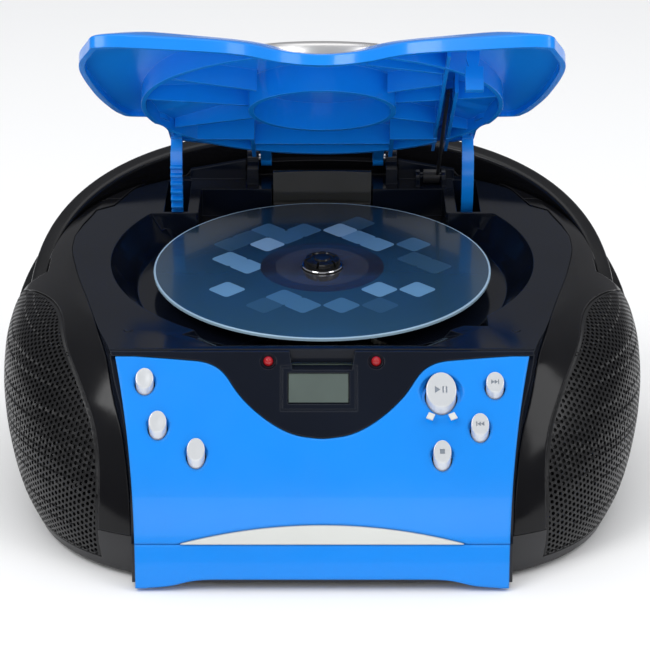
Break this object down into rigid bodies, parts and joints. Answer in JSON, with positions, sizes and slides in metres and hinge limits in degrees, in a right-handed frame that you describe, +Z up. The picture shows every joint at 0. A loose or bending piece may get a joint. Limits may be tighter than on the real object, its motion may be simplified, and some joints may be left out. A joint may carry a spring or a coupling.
{
  "type": "portable cd player",
  "caption": "Portable disc player in a cabinet with side speakers, a top lid over the disc well, a sloping key panel with display and a folding carry handle.",
  "frame": {"origin": "on the table under the middle of the cabinet's plan", "axes": "+X to the object's right as seen from the front, +Y to the back, +Z up"},
  "size_m": [0.224, 0.2086, 0.1715],
  "materials": {
    "black_gloss": "polished",
    "deck_gloss": "polished",
    "cabinet_grey": "satin",
    "blue_gloss": "polished",
    "grille_black": "satin",
    "cream_silver": "satin",
    "key_silver": "satin",
    "badge_silver": "satin",
    "lcd_glass": "polished",
    "lcd_green": "matte",
    "lamp_red": "polished",
    "board": "satin",
    "black_matte": "matte",
    "steel": "satin",
    "iron": "matte",
    "paper_cone": "matte",
    "magnet": "matte",
    "rubber": "matte",
    "gear_white": "satin",
    "disc_print": "polished",
    "hub_black": "polished",
    "motor_zinc": "satin"
  },
  "bodies": {
    "cabinet": {"lower_cabinet": "cabinet_grey", "side_shell_left": "black_gloss", "side_shell_right": "black_gloss", "rear_cover": "black_gloss", "deck_housing": "deck_gloss", "front_panel": "blue_gloss", "lower_trim": "blue_gloss", "crescent_trim": "cream_silver", "speaker_grille_left": "grille_black", "speaker_grille_right": "grille_black", "woofer_frame_left": "steel", "woofer_frame_right": "steel", "woofer_cone_left": "paper_cone", "woofer_cone_right": "paper_cone", "woofer_magnet_left": "magnet", "woofer_magnet_right": "magnet", "lcd_window": "lcd_glass", "lcd_module": "lcd_green", "indicator_leds": "lamp_red", "control_board": "board", "tact_switches": "black_matte", "main_board": "board", "power_transformer": "iron", "mains_inlet": "black_matte", "aux_jack": "black_matte", "battery_contacts": "steel", "mech_chassis": "black_matte", "damper_bushes": "rubber", "spindle_motor": "motor_zinc", "guide_rods": "steel", "sled_motor": "motor_zinc", "lid_hinge_pins": "steel", "latch_catch": "steel", "handle_pivots": "steel", "rubber_feet": "rubber", "case_screws": "steel"},
    "lid": {"lid": "blue_gloss", "lid_badge": "badge_silver"},
    "handle": {"handle": "black_gloss"},
    "disc": {"compact_disc": "disc_print", "turntable_hub": "hub_black"},
    "pickup": {"laser_pickup": "black_matte"},
    "feed_gear": {"feed_gear": "gear_white"},
    "damper_gear": {"damper_gear": "gear_white"},
    "lid_spring": {"lid_spring": "steel"},
    "volume_wheel": {"volume_wheel": "black_matte"},
    "function_switch": {"function_switch": "black_matte"},
    "battery_door": {"battery_door": "cabinet_grey"},
    "key_bass": {"key_bass": "key_silver"},
    "key_repeat": {"key_repeat": "key_silver"},
    "key_program": {"key_program": "key_silver"},
    "key_play": {"key_play": "key_silver"},
    "key_next": {"key_next": "key_silver"},
    "key_back": {"key_back": "key_silver"},
    "key_stop": {"key_stop": "key_silver"}
  },
  "joints": [
    {"name": "lid_hinge", "type": "hinge", "parent": "cabinet", "child": "lid", "pos_m": [0, 0.08951, 0.09252], "axis": [1, 0, 0], "range_deg": [0, 35.8]},
    {"name": "handle_swing", "type": "hinge", "parent": "cabinet", "child": "handle", "pos_m": [0, 0.01, 0.0585], "axis": [1, 0, 0], "range_deg": [0, 39]},
    {"name": "disc_spin", "type": "hinge", "parent": "cabinet", "child": "disc", "pos_m": [0, 0.009, 0.074], "axis": [0, -0.1045, 0.9945], "continuous": true},
    {"name": "pickup_slide", "type": "slide", "parent": "cabinet", "child": "pickup", "axis": [0, 0.9945, 0.1045], "range_m": [-0.0155, 0.0135]},
    {"name": "feed_gear_spin", "type": "hinge", "parent": "cabinet", "child": "feed_gear", "pos_m": [0.023, -0.0111, 0.05479], "axis": [0, -0.1045, 0.9945], "range_deg": [-145, 145]},
    {"name": "damper_gear_spin", "type": "hinge", "parent": "cabinet", "child": "damper_gear", "pos_m": [-0.0544, 0.058, 0.07127], "axis": [1, 0, 0], "range_deg": [-192, 1]},
    {"name": "lid_spring_swing", "type": "hinge", "parent": "cabinet", "child": "lid_spring", "pos_m": [0.041, 0.07788, 0.08828], "axis": [1, 0, 0], "range_deg": [0, 41]},
    {"name": "volume_turn", "type": "hinge", "parent": "cabinet", "child": "volume_wheel", "pos_m": [0.027, 0.095, 0.029], "axis": [0, 0, 1], "range_deg": [-140, 140]},
    {"name": "function_slide", "type": "slide", "parent": "cabinet", "child": "function_switch", "axis": [1, 0, 0], "range_m": [0, 0.0055]},
    {"name": "battery_door_hinge", "type": "hinge", "parent": "cabinet", "child": "battery_door", "pos_m": [0, 0.0055, 0.0031], "axis": [-1, 0, 0], "range_deg": [0, 60]},
    {"name": "key_bass_press", "type": "slide", "parent": "cabinet", "child": "key_bass", "axis": [0, 0.309, -0.9511], "range_m": [0, 0.0008]},
    {"name": "key_repeat_press", "type": "slide", "parent": "cabinet", "child": "key_repeat", "axis": [0, 0.309, -0.9511], "range_m": [0, 0.0008]},
    {"name": "key_program_press", "type": "slide", "parent": "cabinet", "child": "key_program", "axis": [0, 0.309, -0.9511], "range_m": [0, 0.0008]},
    {"name": "key_play_press", "type": "slide", "parent": "cabinet", "child": "key_play", "axis": [0, 0.309, -0.9511], "range_m": [0, 0.0008]},
    {"name": "key_next_press", "type": "slide", "parent": "cabinet", "child": "key_next", "axis": [0, 0.309, -0.9511], "range_m": [0, 0.0008]},
    {"name": "key_back_press", "type": "slide", "parent": "cabinet", "child": "key_back", "axis": [0, 0.309, -0.9511], "range_m": [0, 0.0008]},
    {"name": "key_stop_press", "type": "slide", "parent": "cabinet", "child": "key_stop", "axis": [0, 0.309, -0.9511], "range_m": [0, 0.0008]}
  ],
  "couplings": [
    {"joint": "feed_gear_spin", "follows": "pickup_slide", "rad_per_m": -156.25},
    {"joint": "damper_gear_spin", "follows": "lid_hinge", "ratio": -5.3333},
    {"joint": "lid_spring_swing", "follows": "lid_hinge", "ratio": 1.1255}
  ]
}
